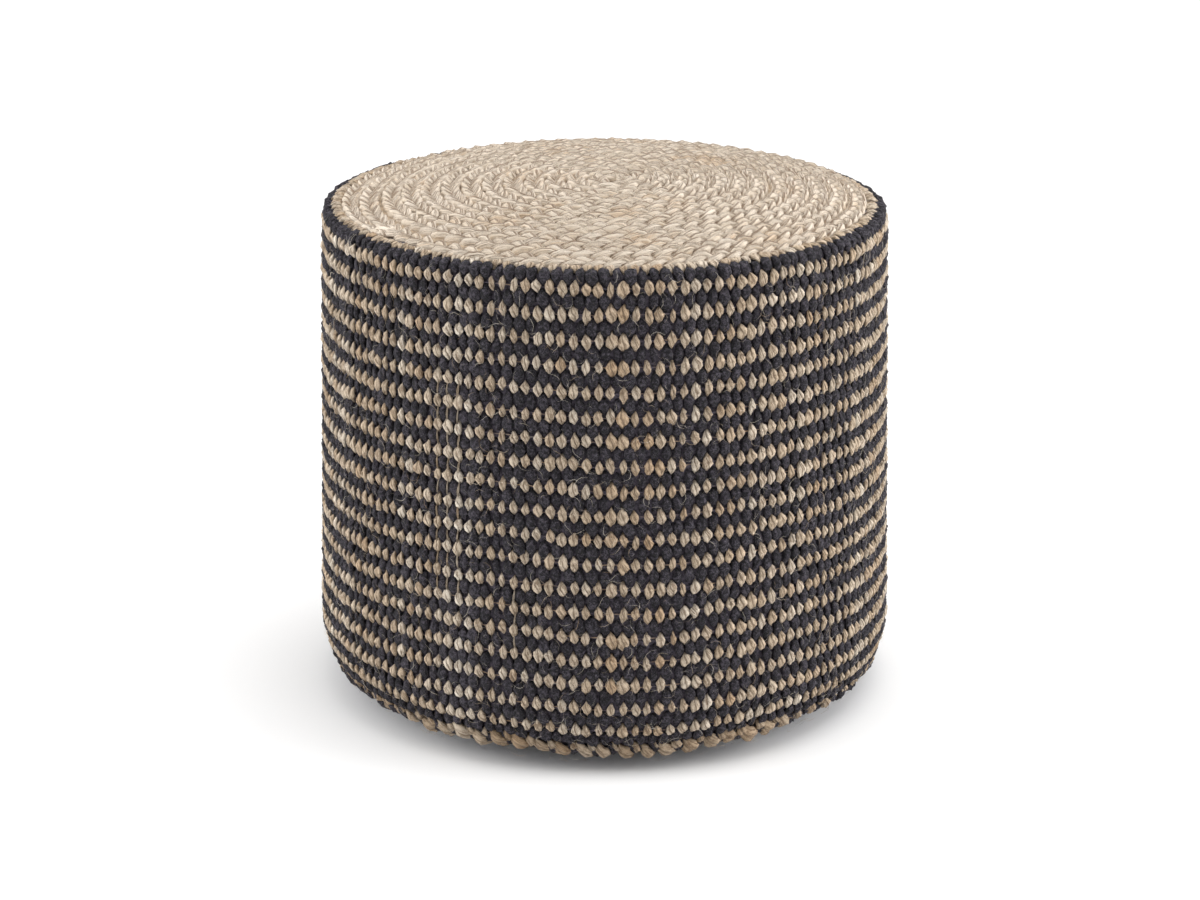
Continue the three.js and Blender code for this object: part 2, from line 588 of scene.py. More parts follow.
def dome(points):
    """Lays the flat coil on the crown: its middle moves to +X and its face rises."""
    x, y, z = points.T
    share = np.hypot(x, y) / COIL_RADIUS
    moved = x + COIL_SHIFT * np.clip(1 - share, 0, 1)
    return settle(np.column_stack([moved, y, z + crown_height(moved, y)]))


# Yarn shapes: one float of yarn over a thread of the weft, in flat cloth

PLY_ANGLES = np.radians([0, 26, 68, 120, 180, 240, 292, 334])
JUTE_STEPS = np.array([-0.82, -0.50, -0.17, 0.17, 0.50, 0.82])
WOOL_STEPS = np.array([-0.80, -0.42, 0.0, 0.42, 0.80])
FLOAT_END = 0.16


def float_mesh(steps, name, belly, groove, twist, swell, lumps=0.0):
    """A spindle of yarn, 1 wide, 1 long and 1 high, whose ends dive under the cloth.

    Its rings turn along it, so the groove between its two plies runs slantwise.
    """
    draw = np.random.default_rng(len(name) + int(groove * 1000))
    rings = []
    for v in steps:
        bow = math.cos(v * math.pi / 2)
        angle = PLY_ANGLES + math.pi / 2 + twist * v
        depth = 1 - groove * np.exp(-((PLY_ANGLES / 0.4) ** 2))
        depth = depth * (1 + lumps * draw.uniform(-1, 1, len(angle)))
        half = (1 - abs(v) ** 1.5) ** belly / 2
        x = half * (1 + swell * v) * depth * np.cos(angle)
        z = 0.48 * bow - 0.14 + 0.36 * bow**0.5 * depth * np.sin(angle)
        rings.append(np.column_stack([x, np.full(len(x), v / 2), z]))
    points = np.vstack([*rings, [[0, -0.5, -FLOAT_END], [0, 0.5, -FLOAT_END]]])
    sides = len(PLY_ANGLES)
    low, high = len(points) - 2, len(points) - 1
    last = (len(steps) - 1) * sides
    share = (steps + 1) / 2
    faces, place = [], []
    for j, k in pairs(sides):
        a, b = j / sides, (j + 1) / sides
        for i in range(len(steps) - 1):
            first, second = i * sides, (i + 1) * sides
            faces.append((first + j, second + j, second + k, first + k))
            place += [(a, share[i]), (a, share[i + 1]), (b, share[i + 1]), (b, share[i])]
        faces.append((low, j, k))
        place += [((a + b) / 2, 0), (a, share[0]), (b, share[0])]
        faces.append((high, last + k, last + j))
        place += [((a + b) / 2, 1), (b, share[-1]), (a, share[-1])]
    mesh = new_mesh(name, points, faces)
    layer = mesh.uv_layers.new(name="yarn")
    layer.data.foreach_set("uv", np.array(place, np.float32).ravel())
    return mesh


def hair_mesh(name, bend, kick, radius):
    """A hair 1 long: a three-sided tube on an arc, thinner at its ends."""
    corners = np.radians([90, 210, 330])
    rings = []
    for v in np.linspace(-0.5, 0.5, 5):
        thin = radius * (1.15 - 1.4 * abs(v))
        centre = np.array([bend * (0.25 - v * v) + kick * v**3, v, 0.22 * (0.25 - v * v)])
        ring = np.column_stack([np.cos(corners) * thin, np.zeros(3), np.sin(corners) * thin])
        rings.append(ring + centre)
    last = 3 * len(rings)
    caps = [(0, 1, 2), (last - 1, last - 2, last - 3)]
    return new_mesh(name, np.vstack(rings), caps + tube_faces(len(rings), 3))


def shape_collection(kind, make, *forms):
    """A collection of four shapes for a tree to pick from, out of the scene."""
    made = bpy.data.collections.new(kind + "_shapes")
    for letter, form in zip("abcd", forms):
        mesh = make(f"{kind}_{letter}", *form)
        made.objects.link(bpy.data.objects.new(mesh.name, mesh))
    return made


def drop_collection(collection):
    for shape in list(collection.objects):
        bpy.data.objects.remove(shape)
    bpy.data.collections.remove(collection)


# Trees


def float_tree():
    """Rows of yarn floats on flat cloth, uneven by column and by float."""
    floats = "ColumnPitch RowPitch StartX StartY Lift Width Length Height Lean Skew Shrink"
    whole = "Columns Rows ColumnSeed Seed"
    tree = Growth("yarn_floats", Collection="Shapes", Int=whole, Float=floats + " Uneven PaleX")
    given = tree.given
    columns, rows, pitch, drop = given("Columns", "Rows", "ColumnPitch", "RowPitch")
    own, seed, uneven = given("ColumnSeed", "Seed", "Uneven")
    wide, high = (columns - 1.0) * pitch, (rows - 1.0) * drop
    grid = {"Size X": wide, "Size Y": high, "Vertices X": columns, "Vertices Y": rows}
    grid = tree.node("GeometryNodeMeshGrid", grid)
    grid_x, grid_y = tree.split(tree.place())
    x = grid_x + wide * 0.5 + given("StartX")
    y = grid_y - high * 0.5 + given("StartY")
    column = ((x - given("StartX")) / pitch).math("ROUND")
    number = tree.number()
    draw = partial(tree.random, -1.0, 1.0, number)
    share = partial(tree.random, 0.0, 1.0)

    # Rows wander as a whole, and each float is a little out of its place
    wander = tree.noise(tree.vector(x * 38.0, y * 13.0, 0.0), 1.0, 1.0) - 0.5
    drift = tree.noise(tree.vector(x * 9.0, y * 16.0, 5.0), 1.0, 1.0) - 0.5
    sway = (wander * 0.50 + draw(seed) * 0.06) * uneven * pitch
    rise = (drift * 0.26 + draw(seed + 1.0) * 0.06) * uneven * ROW_PITCH * 2
    point = tree.vector(x + sway, y + rise, given("Lift"))
    cloth = tree.node("GeometryNodeSetPosition", {"Geometry": grid, "Position": point})

    # Sizes: by column, by float, beside the front and beside the seam
    thick = tree.random(-1.0, 1.0, column, own + 2.0)
    thick = thick * 0.10 + thick**5.0 * 0.20
    tight = (1.0 - abs(x) / TIGHT_HALF_WIDTH).clip()
    seam = (1.0 - abs(x - given("PaleX")) / PALE_HALF_WIDTH).clip()
    plump, long, tall, turn = (draw(seed + step) for step in (3.0, 4.0, 5.0, 6.0))
    skew = (x * -1.0 / TIGHT_HALF_WIDTH).clip(-1.0, 1.0) * given("Skew")
    far = ((abs(x) - CHUNKY_HALF_WIDTH) / CHUNKY_FADE).clip()
    full = 1.0 - far * given("Shrink")
    lean = given("Lean") + skew + turn * 0.13 * uneven
    width = 1.0 + (thick + plump * 0.10) * uneven + seam * 0.10 - tight * 0.10
    length = 1.0 + (thick * 0.4 + long * 0.11) * uneven - tight * 0.04 + skew * 0.6
    height = 1.0 + (thick * 0.7 + tall * 0.12) * uneven
    size = tree.vector(
        given("Width") * full * width,
        given("Length") * full * length,
        given("Height") * full * height,
    )
    kind = tree.random(0, 3, number, seed + 7.0, "INT")
    floats = tree.sow(cloth, kind, tree.vector(0.0, 0.0, lean), size)

    # Shades: from dull to pale and from cool to warm, the palest beside the seam
    tone = share(column, own + 8.0) * 0.55 + share(number, seed + 9.0) * 0.45
    warm = share(column, own + 10.0) * 0.45 + share(number, seed + 11.0) * 0.55
    floats = tree.store(floats, "tone", (tone + seam * 0.5).clip(), "INSTANCE")
    return tree.close(tree.store(floats, "warm", warm * (1.0 - seam), "INSTANCE"))


def thread_tree():
    """Thin weft threads on flat cloth, one for each row."""
    tree = Growth("weft_threads", Int="Steps Rows", Float="Girth RowPitch StartY Lift Radius")
    girth, steps, radius = tree.given("Girth", "Steps", "Radius")
    start = tree.vector(girth * -0.5, 0.0, 0.0)
    thread = tree.line(steps + 1.0, tree.vector(girth / steps, 0.0, 0.0), start)
    below = tree.vector(0.0, tree.given("RowPitch") * -1.0, 0.0)
    threads = tree.copies(tree.line(tree.given("Rows"), below), tree.curve(thread))
    place = tree.place()
    wave = tree.given("StartY") + (tree.noise(place, 90.0) - 0.5) * 0.004
    lift = tree.given("Lift") + (tree.noise(place, 260.0) - 0.5) * radius
    bent = tree.move(tree.real(threads), tree.vector(0.0, wave, lift))
    return tree.close(tree.tube(bent, tree.ring(4, radius)))


def braid_tree():
    """Three flat strands plaited along a path, each out over the top and back below."""
    floats = "Swing Rise EdgeLift Period StrandWidth StrandHeight Lumps"
    tree = Growth("plait", Float=floats, Int="Sides")
    given = tree.given
    path = tree.curve(given("Geometry"))
    squeeze = tree.read("squeeze")
    length = tree.node("GeometryNodeSplineParameter", out="Length")
    across = {0: tree.node("GeometryNodeInputTangent"), 1: (0.0, 0.0, -1.0)}
    across = tree.node("ShaderNodeVectorMath", across, operation="CROSS_PRODUCT")
    place = tree.place()
    ring = tree.store(tree.ring(given("Sides"), 1.0), "round", place, kind="FLOAT_VECTOR")
    flat = tree.vector(given("StrandHeight") * 0.5, given("StrandWidth") * 0.5, 1.0)
    profile = tree.node("GeometryNodeTransform", {"Geometry": ring, "Scale": flat})
    join = tree.tree.nodes.new("GeometryNodeJoinGeometry")
    for number in range(3):
        shift = (tree.noise(place, 40.0) - 0.5) * 0.8
        turn = length / given("Period") * TURN + number * TURN / 3 + shift
        side = turn.math("SINE")
        under = (turn * 2.0).math("SINE")
        height = side * side * given("EdgeLift") - under * given("Rise")
        height = height + (tree.noise(place, 130.0) - 0.5) * given("Rise")
        sideways = tree.scaled(across, side * given("Swing") * squeeze)
        offset = {0: sideways, 1: tree.vector(0.0, 0.0, height)}
        offset = tree.node("ShaderNodeVectorMath", offset, operation="ADD")
        strand = tree.store(path, "along", length + number * 50.0)
        strand = tree.move(tree.store(strand, "under", under), offset)
        strand = tree.node("GeometryNodeSetCurveNormal", {"Curve": strand}, mode="Z_UP")
        fat = 1.0 + (tree.noise(place, 75.0) - 0.5) * 0.5 - tree.read("under") * 0.14
        strand = {"Curve": strand, "Radius": fat * squeeze}
        strand = tree.node("GeometryNodeSetCurveRadius", strand)
        tree.tree.links.new(tree.tube(strand, profile).socket, join.inputs[0])
    bulge = (tree.noise(place, 240.0, 1.0) - 0.5) * given("Lumps")
    outward = tree.scaled(tree.node("GeometryNodeInputNormal"), bulge)
    return tree.close(tree.move(Wire(tree, join.outputs[0]), outward))


def hair_tree():
    """Loose hairs scattered on a flat patch, each a thin bent tube."""
    floats = "Density Lift Spread Short Long"
    tree = Growth("loose_hairs", Collection="Shapes", Float=floats, Int="Seed")
    patch, density, seed = tree.given("Geometry", "Density", "Seed")
    dots = tree.node(
        "GeometryNodeDistributePointsOnFaces",
        {"Mesh": patch, "Density": density, "Seed": seed},
        distribute_method="RANDOM",
    )
    number = tree.number()
    draw = partial(tree.random, 0.0, 1.0, number)
    up = draw(seed + 1.0) * tree.given("Spread") + tree.given("Lift")
    size = tree.random(*tree.given("Short", "Long"), number, seed + 2.0)
    tip = tree.random(-0.16, 0.16, number, seed + 3.0)
    turn = tree.random(0.0, TURN, number, seed + 4.0)
    hairs = tree.sow(
        tree.move(dots, tree.vector(0.0, 0.0, up)),
        tree.random(0, 3, number, seed + 5.0, "INT"),
        tree.vector(tip, 0.0, turn),
        tree.vector(size, size, size * 0.8),
    )
    return tree.close(tree.store(hairs, "tone", draw(seed + 6.0), "INSTANCE"))


# Finishes


def jute_yarn(name, colors, fibres_round=20.0, dim=(1, 1, 1)):
    """Two-ply jute: fibres along the twist, painted shade in the groove between the plies, pale
    to warm.
    """
    finish = Finish(name, sheen=0.08)
    u, v = finish.yarn()
    tone, warm = finish.attribute("tone"), finish.attribute("warm")
    place = finish.object_place()
    fibres = finish.noise(finish.vector(u * fibres_round, v * 2.2, tone * 40.0), 1.0, 3.0, 0.6)
    fine = finish.noise(place, 1300.0, 2.0, 0.6)
    mottle = finish.noise(place, 260.0)
    groove = (1.0 - (0.5 - abs(u - 0.5)) / 0.06).clip()
    light = finish.blend(warm**2.0, colors.jute_mid, colors.jute_warm)
    light = finish.blend(tone**2.0 * 0.9, light, colors.jute_pale)
    # Painted shade: a dim below one darkens the yarn, as at the lower edge near the floor.
    light = finish.blend(1.0, light, dim, "MULTIPLY")
    deep = finish.blend(0.75, light, colors.jute_deep, "MULTIPLY")
    shade = (fibres - 0.5) * 4.2 + (fine - 0.5) * 1.6 + (mottle - 0.5) * 2.2
    color = finish.blend((shade + 0.70).clip(), deep, light)
    # Painted shade: the groove between the plies is darkened towards deep jute.
    color = finish.blend(groove * 0.95, color, colors.jute_deep)
    height = fibres * 1.4 + fine * 0.4 - groove
    return finish.surface(color, 0.74 + fine * 0.2, height, 0.0010)


def wool_yarn(name, colors):
    """Charcoal wool-like yarn: soft knots of fibre, with paler hairs caught in it."""
    finish = Finish(name, sheen=0.05)
    u, v = finish.yarn()
    tone = finish.attribute("tone")
    place = finish.object_place()
    knots = finish.noise(place, 430.0, 4.0, 0.65)
    fuzz = finish.noise(place, 1500.0, 2.0, 0.7)
    caught = finish.vector(u * 16.0 + v * 5.0, v * 2.5 - u * 3.0, tone * 60.0)
    caught = finish.noise(caught, 1.3, 3.0, 0.7)
    curl = finish.noise(place, 330.0, 1.5)
    loop = finish.noise(place, 520.0, 1.0)
    curly = (1.0 - abs(curl - 0.52) * 22.0).clip() + (1.0 - abs(loop - 0.47) * 20.0).clip()
    shade = (knots - 0.5) * 3.6 + (fuzz - 0.5) * 1.9 + (tone - 0.5) * 0.3 + curly * 0.42 + 0.30
    # The deep stop is painted shade between the fibres.
    stops = (0.05, colors.charcoal_deep), (0.50, colors.charcoal), (1.0, colors.charcoal_pale)
    color = finish.ramp(shade, *stops)
    hair = ((caught - 0.62) * 9.0).clip(0.0, 0.6)
    color = finish.blend(hair, color, colors.charcoal_hair)
    height = knots * 1.3 + fuzz * 0.5 + curly * 0.25
    return finish.surface(color, 0.88 + fuzz * 0.1, height, 0.0038)


def braid_jute(name, colors):
    """Loose jute strands of the braid: long fibres, pale with warm stretches, painted shade at
    edges and under crossings.
    """
    finish = Finish(name, sheen=0.10)
    along, ring = finish.attribute("along"), finish.attribute("round", "Vector")
    place = finish.object_place()
    turned = {"Vector": ring, "Angle": along * 55.0}
    turned = finish.node("ShaderNodeVectorRotate", turned, rotation_type="Z_AXIS")
    x, y = finish.split(turned)
    fibres = finish.noise(finish.vector(x * 6.5, y * 6.5, along * 55.0), 1.0, 3.0, 0.6)
    coarse = finish.noise(finish.vector(x * 2.2, y * 2.2, along * 28.0))
    fine = finish.noise(place, 1300.0, 2.0, 0.6)
    patch = finish.noise(place, 17.0)
    stretch = finish.noise(finish.vector(along * 24.0, 0.0, 11.0), 1.0, 2.0, 0.6)
    streak = finish.noise(finish.vector(x * 3.5, y * 3.5, along * 30.0))
    warm = (patch * 0.8 + stretch * 0.5 + streak * 0.7 - 1.08) * 4.5
    light = finish.blend(((stretch - 0.35) * 3.0).clip(), colors.braid_pale, colors.braid_mid)
    light = finish.blend(warm.clip(0.0, 0.6), light, colors.braid_warm)
    deep = finish.blend(0.88, light, colors.jute_deep, "MULTIPLY")
    _, side = finish.split(ring)
    # Painted shade along a strand's edges, where they sink into the creases between strands.
    painted_crease_shade = ((abs(side) - 0.75) * 4.6).clip() * (0.5 + coarse * 0.6)
    # Painted shade where a strand goes under another one.
    painted_under_shade = (finish.attribute("under") * 1.3 - 0.1).clip()
    shade = (fibres - 0.5) * 4.2 + (coarse - 0.5) * 2.0 + (fine - 0.5) * 1.6
    shade = (shade + 1.08 - painted_crease_shade * 1.2 - painted_under_shade * 0.95).clip()
    height = fibres * 1.3 + coarse * 0.8 + fine * 0.3
    return finish.surface(finish.blend(shade, deep, light), 0.70 + fine * 0.2, height, 0.0016)


def shaded_cloth(name, scale, *stops):
    """What shows between the yarns: cloth in their shadow."""
    finish = Finish(name)
    strands = finish.noise(finish.object_place(), scale, 3.0, 0.6)
    color = finish.ramp(strands, *stops)
    return finish.surface(color, 0.95 - strands * 0.1, strands, 0.0012)


def plain_weave(name, colors):
    """Plain weave of the base: over and under threads with a slub here and there."""
    finish = Finish(name)
    x, y = finish.split(finish.object_place())
    turns = TURN / BASE_THREAD
    cross = (x * turns).math("SINE") * (y * turns).math("SINE") * 0.5 + 0.5
    slub = finish.noise(finish.vector(x * 30.0, y * 600.0, 0.0), 1.0, 3.0, 0.6)
    shade = cross * 0.5 + slub * 0.7 - 0.1
    color = finish.ramp(shade, (0.1, colors.jute_deep), (0.7, colors.base_pale))
    return finish.surface(color, 0.9 - cross * 0.08, cross + slub, 0.0006)


def hair_finish(name, roughness, *shades):
    """Loose hairs in three shades, from the darkest to the palest."""
    finish = Finish(name, sheen=0.1)
    color = finish.ramp(finish.attribute("tone"), *zip((0.0, 0.5, 1.0), shades))
    grain = finish.noise(finish.object_place(), 1200.0)
    return finish.surface(color, roughness + grain * 0.2, grain, 0.0002)


def thread_finish(name, colors):
    """The thin weft: tan where it catches the light, and dark with wool fibres elsewhere."""
    finish = Finish(name)
    place = finish.object_place()
    # Painted light: the tan stretches stand for where the thread catches the light.
    painted_light_mask = finish.noise(place, 70.0, 2.0, 0.6)
    grain = finish.noise(place, 900.0, 2.0, 0.6)
    stops = (0.46, colors.charcoal_pale), (0.68, colors.jute_warm)
    color = finish.ramp(painted_light_mask * 0.8 + grain * 0.2, *stops)
    return finish.surface(color, 0.8 + grain * 0.1, grain, 0.0004)


def floor_finish(name):
    finish = Finish(name)
    grain = finish.noise(finish.object_place(), 3.0)
    color = finish.ramp(grain, (0.0, (0.85, 0.85, 0.85)), (1.0, (0.87, 0.87, 0.87)))
    return finish.surface(color, 0.8 + grain * 0.1, grain, 0.00001)


# Settings


def color_property(name, description, default):
    return bpy.props.FloatVectorProperty(
        name=name, description=description, default=default, subtype="COLOR", min=0, max=1
    )


def float_property(name, description, default, **more):
    return bpy.props.FloatProperty(name=name, description=description, default=default, **more)


length_property = partial(float_property, unit="LENGTH", precision=4)
power_property = partial(float_property, unit="POWER")


class PoufColors(bpy.types.PropertyGroup):
    """Colours of the yarns, the hairs and the cloth"""

    jute_pale: color_property("Pale jute", "Lightest yarns of the side", (0.74, 0.665, 0.56))
    jute_mid: color_property("Jute", "Most yarns of the side", (0.53, 0.417, 0.297))
    jute_warm: color_property("Warm jute", "Orange-tan yarns of the side", (0.52, 0.36, 0.22))
    jute_deep: color_property("Deep jute", "Grooves and shaded jute", (0.22, 0.155, 0.10))
    hair_pale: color_property("Pale hairs", "Lightest loose hairs", (0.76, 0.69, 0.58))
    charcoal: color_property("Charcoal", "Charcoal yarn", (0.0338, 0.0290, 0.0392))
    # Deep charcoal is painted shade between fibres and on the cloth in the yarns' shadow.
    charcoal_deep: color_property("Deep charcoal", "Between fibres", (0.0095, 0.0083, 0.0110))
    charcoal_pale: color_property("Pale charcoal", "Lit fuzz", (0.129, 0.113, 0.141))
    charcoal_hair: color_property("Caught hairs", "Hairs in the yarn", (0.20, 0.175, 0.15))
    braid_pale: color_property("Pale braid", "Lightest strands on top", (0.84, 0.74, 0.625))
    braid_mid: color_property("Braid", "Most of the strands on top", (0.765, 0.648, 0.513))
    braid_warm: color_property("Warm braid", "Orange stretches on top", (0.72, 0.535, 0.36))
    seat_shade: color_property("Seat", "Shade between the turns", (0.25, 0.19, 0.135))
    base_pale: color_property("Base cloth", "Cloth under the pouf", (0.50, 0.41, 0.30))


class PoufBand(bpy.types.PropertyGroup):
    """Sizes of the side band's yarns"""

    columns: bpy.props.IntProperty(
        name="Columns", description="Jute yarns round the drum", default=155, min=20
    )
    float_width: length_property("Jute width", "Width of a jute float", 0.0087)
    float_length: length_property("Jute length", "Length of a jute float", 0.0142)
    float_height: length_property("Jute height", "Height of a jute float", 0.0050)
    wool_width: length_property("Wool width", "Width of a charcoal float", 0.0091)
    wool_length: length_property("Wool length", "Length of a charcoal float", 0.0156)
    wool_height: length_property("Wool height", "Height of a charcoal float", 0.0058)
    weft_radius: length_property("Weft radius", "Radius of the thread between floats", 0.00045)
    strand_width: length_property("Strand width", "Width of a strand along the seam", 0.0015)
    seam_angle: float_property(
        "Seam", "Where the paler yarns are", math.radians(-31), subtype="ANGLE"
    )
    uneven: float_property("Uneven", "How irregular the weave is", 1.0, min=0, max=2)


class PoufBraid(bpy.types.PropertyGroup):
    """Sizes of the coiled braid"""

    turn_width: length_property("Turn", "Width of one turn of the coil", 0.0163)
    period: length_property("Plait", "Length in which a strand crosses and comes back", 0.046)
    strand_width: length_property("Strand width", "Width of one strand", 0.0110)
    strand_height: length_property("Strand height", "Thickness of one strand", 0.0060)
    swing: length_property("Swing", "How far a strand goes to each side", 0.0054)
    rise: length_property("Rise", "How far a strand goes up and down", 0.0022)
    edge_lift: length_property("Edge lift", "How far a strand rises at its edges", 0.0018)
    lumps: length_property("Lumps", "Unevenness of a strand's surface", 0.0012)
    step: length_property("Step", "Spacing of the sections of a strand", 0.0037)


class PoufStage(bpy.types.PropertyGroup):
    """Strengths of the lights and of the white surround"""

    top_power: power_property("Top light", "Power of the soft light overhead", 17.0)
    left_power: power_property("Left light", "Power of the soft light at the left", 18.0)
    right_power: power_property("Right light", "Power of the soft light at the right", 24.0)
    sky: float_property("Surround", "Strength of the white surround", 1.12)
    front_shade: float_property("Front shade", "How much darker the surround is in front", 1.0)
    side_fill: float_property("Side fill", "How much brighter the surround is at the sides", 2.7)


# Operators


class PoufOperator:
    """What the building operators share."""

    bl_options = {"REGISTER", "UNDO"}


class POUF_OT_stage(PoufOperator, bpy.types.Operator):
    """Sets the floor, the lights and the camera"""

    bl_idname = "pouf.stage"
    bl_label = "Stage"

    floor_half = 9.0
    floor_drop = 0.0004

    def execute(self, context):
        stage = context.scene.pouf_stage
        self.floor()
        self.camera(context)
        self.light("top_light", (0.40, -0.25, 2.1), 1.6, stage.top_power)
        self.light("left_light", (-2.48, -0.35, 1.0), 1.2, stage.left_power)
        self.light("right_light", (2.48, -0.35, 1.0), 1.2, stage.right_power)
        world = bpy.data.worlds.new("studio")
        context.scene.world = world
        world.use_nodes = True
        sky = world.node_tree.nodes["Background"]
        graph = Graph(world.node_tree)
        x, y = graph.split(graph.node("ShaderNodeTexCoord", out="Generated"))
        front = (y * -1.0).clip() * stage.front_shade
        strength = (1.0 - front + x**4.0 * stage.side_fill) * stage.sky
        graph.put(sky.inputs["Color"], (1, 1, 1))
        graph.put(sky.inputs["Strength"], strength)
        context.scene.view_settings.view_transform = "Standard"
        return {"FINISHED"}

    def floor(self):
        half, low = self.floor_half, -self.floor_drop
        corners = [(-half, -half, low), (half, -half, low), (half, half, low), (-half, half, low)]
        mesh = new_mesh("floor", corners, [(0, 1, 2, 3)])
        mesh.materials.append(floor_finish("pale_floor"))
        add_object("floor", mesh)

    @staticmethod
    def camera(context):
        data = bpy.data.cameras.new("camera")
        data.sensor_width = SENSOR
        data.lens = FOCAL_PIXELS / IMAGE_WIDTH * SENSOR
        made = add_object("camera", data)
        made.location = CAMERA_PLACE
        made.rotation_euler = (math.pi / 2 - CAMERA_PITCH, 0, 0)
        context.scene.camera = made

    @staticmethod
    def light(name, place, size, power):
        data = bpy.data.lights.new(name, "AREA")
        data.size = size
        data.energy = power
        made = add_object(name, data)
        made.location = place
        away = made.location.copy()
        away.z -= RIM_HEIGHT / 2
        made.rotation_euler = away.to_track_quat("Z", "Y").to_euler()


class POUF_OT_body(PoufOperator, bpy.types.Operator):
    """Makes the stuffed drum under the yarns"""

    bl_idname = "pouf.body"
    bl_label = "Stuffed drum"

    sink = 0.0036
    foot_sink = 0.0070
    seat_drop = 0.0013
    seat_shares = (0.95, 0.8, 0.6, 0.4, 0.2)
    seat_edge = 0.985
    segments = 124

    def execute(self, context):
        colors = context.scene.pouf_colors
        steps = np.arange(0, FIRST_ROW + 2 * ROW_PITCH, ROW_PITCH / 3)
        sink = -self.sink - self.foot_sink * np.clip(1 - steps / EDGE_ROW, 0, 1)
        edge_r, edge_z = off_section(steps, sink)
        seat = RIM_HEIGHT - self.seat_drop
        seat_r = np.array([*self.seat_shares, 0]) * COIL_RADIUS
        r = np.concatenate([[0, BASE_RADIUS], edge_r, seat_r])
        z = np.concatenate([[0, 0], edge_z, [seat] * len(seat_r)])
        mesh = turned_mesh("drum_body", r, np.maximum(z, FOOT_LIFT), self.segments)
        points = get_points(mesh)
        flat_seat = np.abs(points[:, 2] - seat) < FOOT_LIFT / 2
        lift = crown_height(points[:, 0], points[:, 1])
        points[:, 2] += np.where(flat_seat, lift, 0)
        set_points(mesh, settle(points))
        ground = (0.3, colors.charcoal_deep), (0.65, colors.charcoal_pale)
        mesh.materials.append(shaded_cloth("shaded_ground", 420.0, *ground))
        ground = (0.3, colors.seat_shade), (0.7, colors.jute_mid)
        mesh.materials.append(shaded_cloth("shaded_seat", 300.0, *ground))
        mesh.update()
        inner = np.array([face.center.xy.length for face in mesh.polygons])
        high = np.array([face.center.z for face in mesh.polygons])
        top = (inner < COIL_RADIUS * self.seat_edge) & (high > RIM_HEIGHT / 2)
        mesh.polygons.foreach_set("material_index", top.astype(np.int32))
        piece = finish_piece(add_object("drum_body", mesh))
        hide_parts("side_band")
        return {"FINISHED"}


def weave(context, tree, name, grid, start, size, roughness, seed, **more):
    """Grows a grid of yarn floats on flat cloth and lays it round the drum."""
    names = "Columns Rows ColumnPitch RowPitch StartX StartY Lift Width Length Height"
    values = dict(zip(names.split(), (*grid, *start, *size)))
    pale = context.scene.pouf_band.seam_angle / TURN * GIRTH
    piece = tree.grow(name, PaleX=pale, Seed=seed, **values, **more)
    lay(piece, wrap, roughness, seed)


